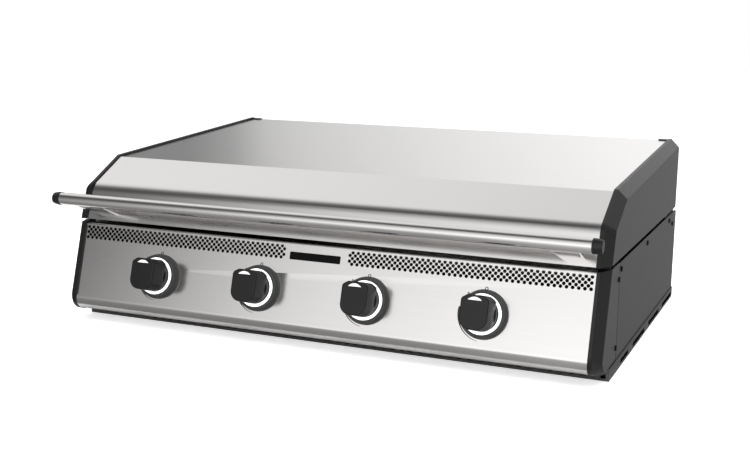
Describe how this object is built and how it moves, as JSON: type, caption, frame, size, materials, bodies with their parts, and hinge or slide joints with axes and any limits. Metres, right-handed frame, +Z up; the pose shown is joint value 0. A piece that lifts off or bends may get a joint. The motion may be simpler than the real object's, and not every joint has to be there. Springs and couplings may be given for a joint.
{
  "type": "drop-in gas griddle",
  "caption": "Drop-in gas griddle: hinged stainless hood with a bar handle over a flat cooking plate, gas knobs on a leaning front panel, a vented base and a pull-out grease cup.",
  "frame": {"origin": "middle of the base tray's underside, on the surface that the griddle stands on", "axes": "+Z up, the front with the knobs faces -Y, +X to the right seen from the front"},
  "size_m": [0.9636, 0.7365, 0.3176],
  "materials": {
    "stainless_sheet": "brushed",
    "black_casting": "satin",
    "zinc_sheet": "galvanised",
    "griddle_steel": "seasoned",
    "burner_steel": "satin",
    "pipe_steel": "plated",
    "brass": "machined",
    "ceramic": "glazed",
    "black_plastic": "satin",
    "white_plastic": "satin",
    "light_ring": "frosted",
    "rubber": "matte"
  },
  "bodies": {
    "chassis": {"base_tray": "black_casting", "side_panel_left": "black_casting", "side_panel_right": "black_casting", "rear_panel": "black_casting", "control_panel": "stainless_sheet", "panel_cap_left": "black_casting", "panel_cap_right": "black_casting", "firewall": "zinc_sheet", "firebox_rear_wall": "zinc_sheet", "firebox_wall_left": "zinc_sheet", "firebox_wall_right": "zinc_sheet", "heat_shield": "zinc_sheet", "plate_levellers": "zinc_sheet", "burner_1": "burner_steel", "burner_2": "burner_steel", "burner_3": "burner_steel", "burner_4": "burner_steel", "burner_rail": "zinc_sheet", "gas_manifold": "pipe_steel", "gas_pipe": "pipe_steel", "gas_inlet": "brass", "gas_valves": "brass", "spark_electrodes": "ceramic", "spark_module": "black_plastic", "knob_bezels": "black_plastic", "light_rings": "light_ring", "hinge_bracket_left": "zinc_sheet", "hinge_bracket_right": "zinc_sheet", "hood_bumpers": "rubber", "side_screws": "black_casting", "grease_shelf": "zinc_sheet"},
    "hood": {"hood_shell": "stainless_sheet", "hood_cap_left": "black_casting", "hood_cap_right": "black_casting", "handle_tube": "stainless_sheet", "handle_end_caps": "black_plastic", "handle_bracket_left": "stainless_sheet", "handle_bracket_right": "stainless_sheet", "hood_hinge_arms": "zinc_sheet"},
    "plate": {"griddle_plate": "griddle_steel"},
    "cup": {"grease_cup": "stainless_sheet"},
    "plug_1": {"valve_plug_1": "brass"},
    "knob_1": {"knob_1": "black_plastic", "knob_pointer_1": "white_plastic", "valve_stem_1": "pipe_steel"},
    "plug_2": {"valve_plug_2": "brass"},
    "knob_2": {"knob_2": "black_plastic", "knob_pointer_2": "white_plastic", "valve_stem_2": "pipe_steel"},
    "plug_3": {"valve_plug_3": "brass"},
    "knob_3": {"knob_3": "black_plastic", "knob_pointer_3": "white_plastic", "valve_stem_3": "pipe_steel"},
    "plug_4": {"valve_plug_4": "brass"},
    "knob_4": {"knob_4": "black_plastic", "knob_pointer_4": "white_plastic", "valve_stem_4": "pipe_steel"}
  },
  "joints": [
    {"name": "hood_hinge", "type": "hinge", "parent": "chassis", "child": "hood", "pos_m": [0, 0.2895, 0.1772], "axis": [-1, 0, 0], "range_deg": [0, 90]},
    {"name": "plate_lift", "type": "slide", "parent": "chassis", "child": "plate", "axis": [0, 0, 1], "range_m": [0, 0.045]},
    {"name": "grease_cup_slide", "type": "slide", "parent": "chassis", "child": "cup", "axis": [0, 1, 0], "range_m": [0, 0.058]},
    {"name": "valve_turn_1", "type": "hinge", "parent": "chassis", "child": "plug_1", "pos_m": [-0.29505, -0.35341, 0.0974], "axis": [0, -0.9588, 0.284], "range_deg": [0, 195]},
    {"name": "knob_push_1", "type": "slide", "parent": "plug_1", "child": "knob_1", "axis": [0, 0.9588, -0.284], "range_m": [0, 0.004], "stiffness_N_per_m": 800, "springref_m": -0.003},
    {"name": "valve_turn_2", "type": "hinge", "parent": "chassis", "child": "plug_2", "pos_m": [-0.09835, -0.35341, 0.0974], "axis": [0, -0.9588, 0.284], "range_deg": [0, 195]},
    {"name": "knob_push_2", "type": "slide", "parent": "plug_2", "child": "knob_2", "axis": [0, 0.9588, -0.284], "range_m": [0, 0.004], "stiffness_N_per_m": 800, "springref_m": -0.003},
    {"name": "valve_turn_3", "type": "hinge", "parent": "chassis", "child": "plug_3", "pos_m": [0.09835, -0.35341, 0.0974], "axis": [0, -0.9588, 0.284], "range_deg": [0, 195]},
    {"name": "knob_push_3", "type": "slide", "parent": "plug_3", "child": "knob_3", "axis": [0, 0.9588, -0.284], "range_m": [0, 0.004], "stiffness_N_per_m": 800, "springref_m": -0.003},
    {"name": "valve_turn_4", "type": "hinge", "parent": "chassis", "child": "plug_4", "pos_m": [0.29505, -0.35341, 0.0974], "axis": [0, -0.9588, 0.284], "range_deg": [0, 195]},
    {"name": "knob_push_4", "type": "slide", "parent": "plug_4", "child": "knob_4", "axis": [0, 0.9588, -0.284], "range_m": [0, 0.004], "stiffness_N_per_m": 800, "springref_m": -0.003}
  ]
}
